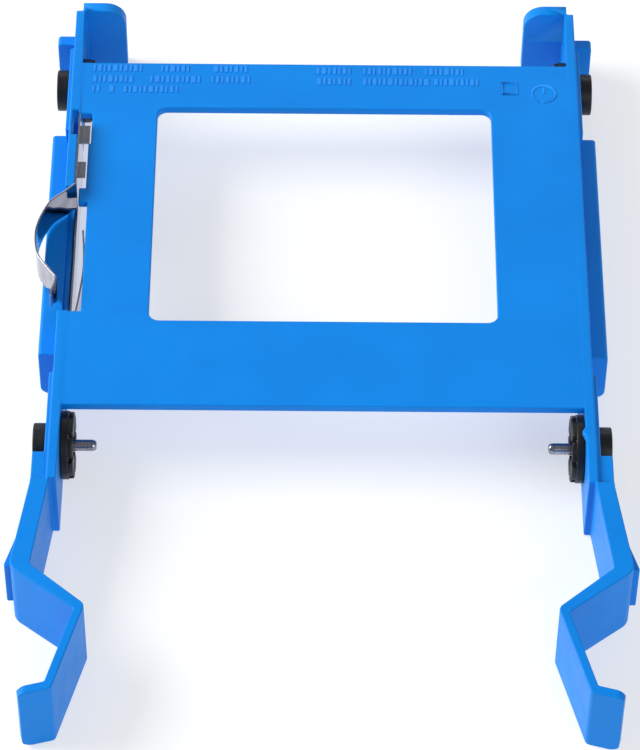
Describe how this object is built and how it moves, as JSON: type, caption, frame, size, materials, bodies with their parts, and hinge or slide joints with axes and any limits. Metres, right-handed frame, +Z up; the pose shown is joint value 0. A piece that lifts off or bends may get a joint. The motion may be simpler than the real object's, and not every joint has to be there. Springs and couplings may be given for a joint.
{
  "type": "hard drive caddy",
  "caption": "Open tray that grips a 3.5-inch hard drive on rubber-mounted steel pins and slides into a computer bay, with squeeze-to-release arms and a grounding clip.",
  "frame": {"origin": "bottom centre of the bounding box, on the plane of the side walls' lower edges", "axes": "+X to the right seen from the arms, +Y from the release arms towards the drive stops, +Z up through the plate"},
  "size_m": [0.1268, 0.1898, 0.021],
  "materials": {
    "blue_plastic": "finely textured injection moulding",
    "grommet_rubber": "matt black moulded rubber",
    "pin_steel": "turned bright steel",
    "clip_steel": "bright rolled stainless spring strip"
  },
  "bodies": {
    "tray": {"tray": "blue_plastic", "front_left_grommet": "grommet_rubber", "front_right_grommet": "grommet_rubber", "rear_left_grommet": "grommet_rubber", "rear_right_grommet": "grommet_rubber", "front_left_pin": "pin_steel", "front_right_pin": "pin_steel", "rear_left_pin": "pin_steel", "rear_right_pin": "pin_steel", "grounding_clip": "clip_steel"},
    "left_arm": {"left_release_arm": "blue_plastic"},
    "right_arm": {"right_release_arm": "blue_plastic"},
    "clip_spring": {"grounding_spring": "clip_steel"}
  },
  "joints": [
    {"name": "left_arm_flex", "type": "hinge", "parent": "tray", "child": "left_arm", "pos_m": [-0.05485, -0.03351, 0.009], "axis": [0, 0, 1], "range_deg": [0, 8], "stiffness_Nm_per_rad": 1.6},
    {"name": "right_arm_flex", "type": "hinge", "parent": "tray", "child": "right_arm", "pos_m": [0.05485, -0.03351, 0.009], "axis": [0, 0, -1], "range_deg": [0, 8], "stiffness_Nm_per_rad": 1.6},
    {"name": "clip_spring_flex", "type": "hinge", "parent": "tray", "child": "clip_spring", "pos_m": [-0.05335, 0.03669, 0.01725], "axis": [0, 0, 1], "range_deg": [0, 7], "stiffness_Nm_per_rad": 0.12}
  ]
}
